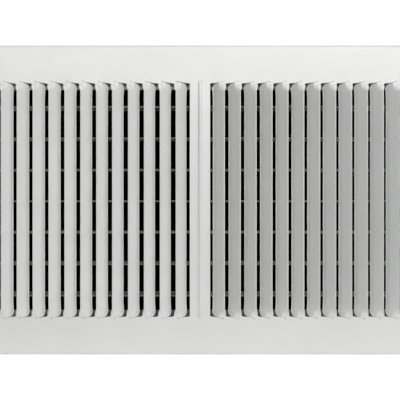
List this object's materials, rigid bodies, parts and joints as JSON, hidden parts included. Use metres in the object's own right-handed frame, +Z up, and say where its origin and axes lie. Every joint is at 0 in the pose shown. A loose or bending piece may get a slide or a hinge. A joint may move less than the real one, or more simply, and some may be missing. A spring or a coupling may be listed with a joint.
{
  "type": "supply air register",
  "caption": "Two-way supply air register: white pressed-steel louvred face with a ribbed middle and a damper box of lever-operated blades behind.",
  "frame": {"origin": "middle of the two screw holes, on the front surface of the face", "axes": "+X to the right along the face, +Y into the wall and duct, +Z up along the fins"},
  "size_m": [0.3492, 0.053, 0.1968],
  "materials": {
    "white_coat": "white powder coat, satin with a fine orange peel",
    "zinc_steel": "galvanised strip, dull with a soft spangle",
    "rivet_metal": "satin",
    "nylon": "natural moulded nylon, satin",
    "grip_plastic": "white moulded plastic, semi-gloss"
  },
  "bodies": {
    "frame": {"face_plate": "white_coat", "frame_top": "zinc_steel", "frame_bottom": "zinc_steel", "side_left": "zinc_steel", "side_right": "zinc_steel", "upper_stop": "zinc_steel", "left_bushings": "nylon", "right_bushings": "nylon", "frame_rivets": "rivet_metal"},
    "blade_1": {"damper_blade_1": "zinc_steel", "blade_pivot_1": "nylon", "blade_crank_1": "nylon"},
    "blade_2": {"damper_blade_2": "zinc_steel", "blade_pivot_2": "nylon", "blade_crank_2": "nylon"},
    "blade_3": {"damper_blade_3": "zinc_steel", "blade_pivot_3": "nylon", "blade_crank_3": "nylon"},
    "blade_4": {"damper_blade_4": "zinc_steel", "blade_pivot_4": "nylon", "blade_crank_4": "nylon"},
    "blade_5": {"damper_blade_5": "zinc_steel", "blade_pivot_5": "nylon", "blade_crank_5": "nylon"},
    "blade_6": {"damper_blade_6": "zinc_steel", "blade_pivot_6": "nylon", "blade_crank_6": "nylon"},
    "blade_7": {"damper_blade_7": "zinc_steel", "blade_pivot_7": "nylon", "blade_crank_7": "nylon"},
    "linkage": {"link_bar": "zinc_steel", "operating_lever": "zinc_steel", "lever_rivets": "rivet_metal", "lever_grip": "grip_plastic"}
  },
  "joints": [
    {"name": "blade_4_turn", "type": "hinge", "parent": "frame", "child": "blade_4", "pos_m": [0, 0.021, -0.0011], "axis": [-1, 0, 0], "range_deg": [0, 84]},
    {"name": "blade_1_turn", "type": "hinge", "parent": "frame", "child": "blade_1", "pos_m": [0, 0.021, 0.0598], "axis": [-1, 0, 0], "range_deg": [0, 84]},
    {"name": "blade_2_turn", "type": "hinge", "parent": "frame", "child": "blade_2", "pos_m": [0, 0.021, 0.0395], "axis": [-1, 0, 0], "range_deg": [0, 84]},
    {"name": "blade_3_turn", "type": "hinge", "parent": "frame", "child": "blade_3", "pos_m": [0, 0.021, 0.0192], "axis": [-1, 0, 0], "range_deg": [0, 84]},
    {"name": "blade_5_turn", "type": "hinge", "parent": "frame", "child": "blade_5", "pos_m": [0, 0.021, -0.0214], "axis": [-1, 0, 0], "range_deg": [0, 84]},
    {"name": "blade_6_turn", "type": "hinge", "parent": "frame", "child": "blade_6", "pos_m": [0, 0.021, -0.0417], "axis": [-1, 0, 0], "range_deg": [0, 84]},
    {"name": "blade_7_turn", "type": "hinge", "parent": "frame", "child": "blade_7", "pos_m": [0, 0.021, -0.062], "axis": [-1, 0, 0], "range_deg": [0, 84]},
    {"name": "linkage_stays_upright", "type": "hinge", "parent": "blade_4", "child": "linkage", "pos_m": [0.1475, 0.01431, -0.00712], "axis": [-1, 0, 0], "range_deg": [-84, 0]}
  ],
  "couplings": [
    {"joint": "blade_1_turn", "follows": "blade_4_turn", "ratio": 1},
    {"joint": "blade_2_turn", "follows": "blade_4_turn", "ratio": 1},
    {"joint": "blade_3_turn", "follows": "blade_4_turn", "ratio": 1},
    {"joint": "blade_5_turn", "follows": "blade_4_turn", "ratio": 1},
    {"joint": "blade_6_turn", "follows": "blade_4_turn", "ratio": 1},
    {"joint": "blade_7_turn", "follows": "blade_4_turn", "ratio": 1},
    {"joint": "linkage_stays_upright", "follows": "blade_4_turn", "ratio": -1}
  ]
}
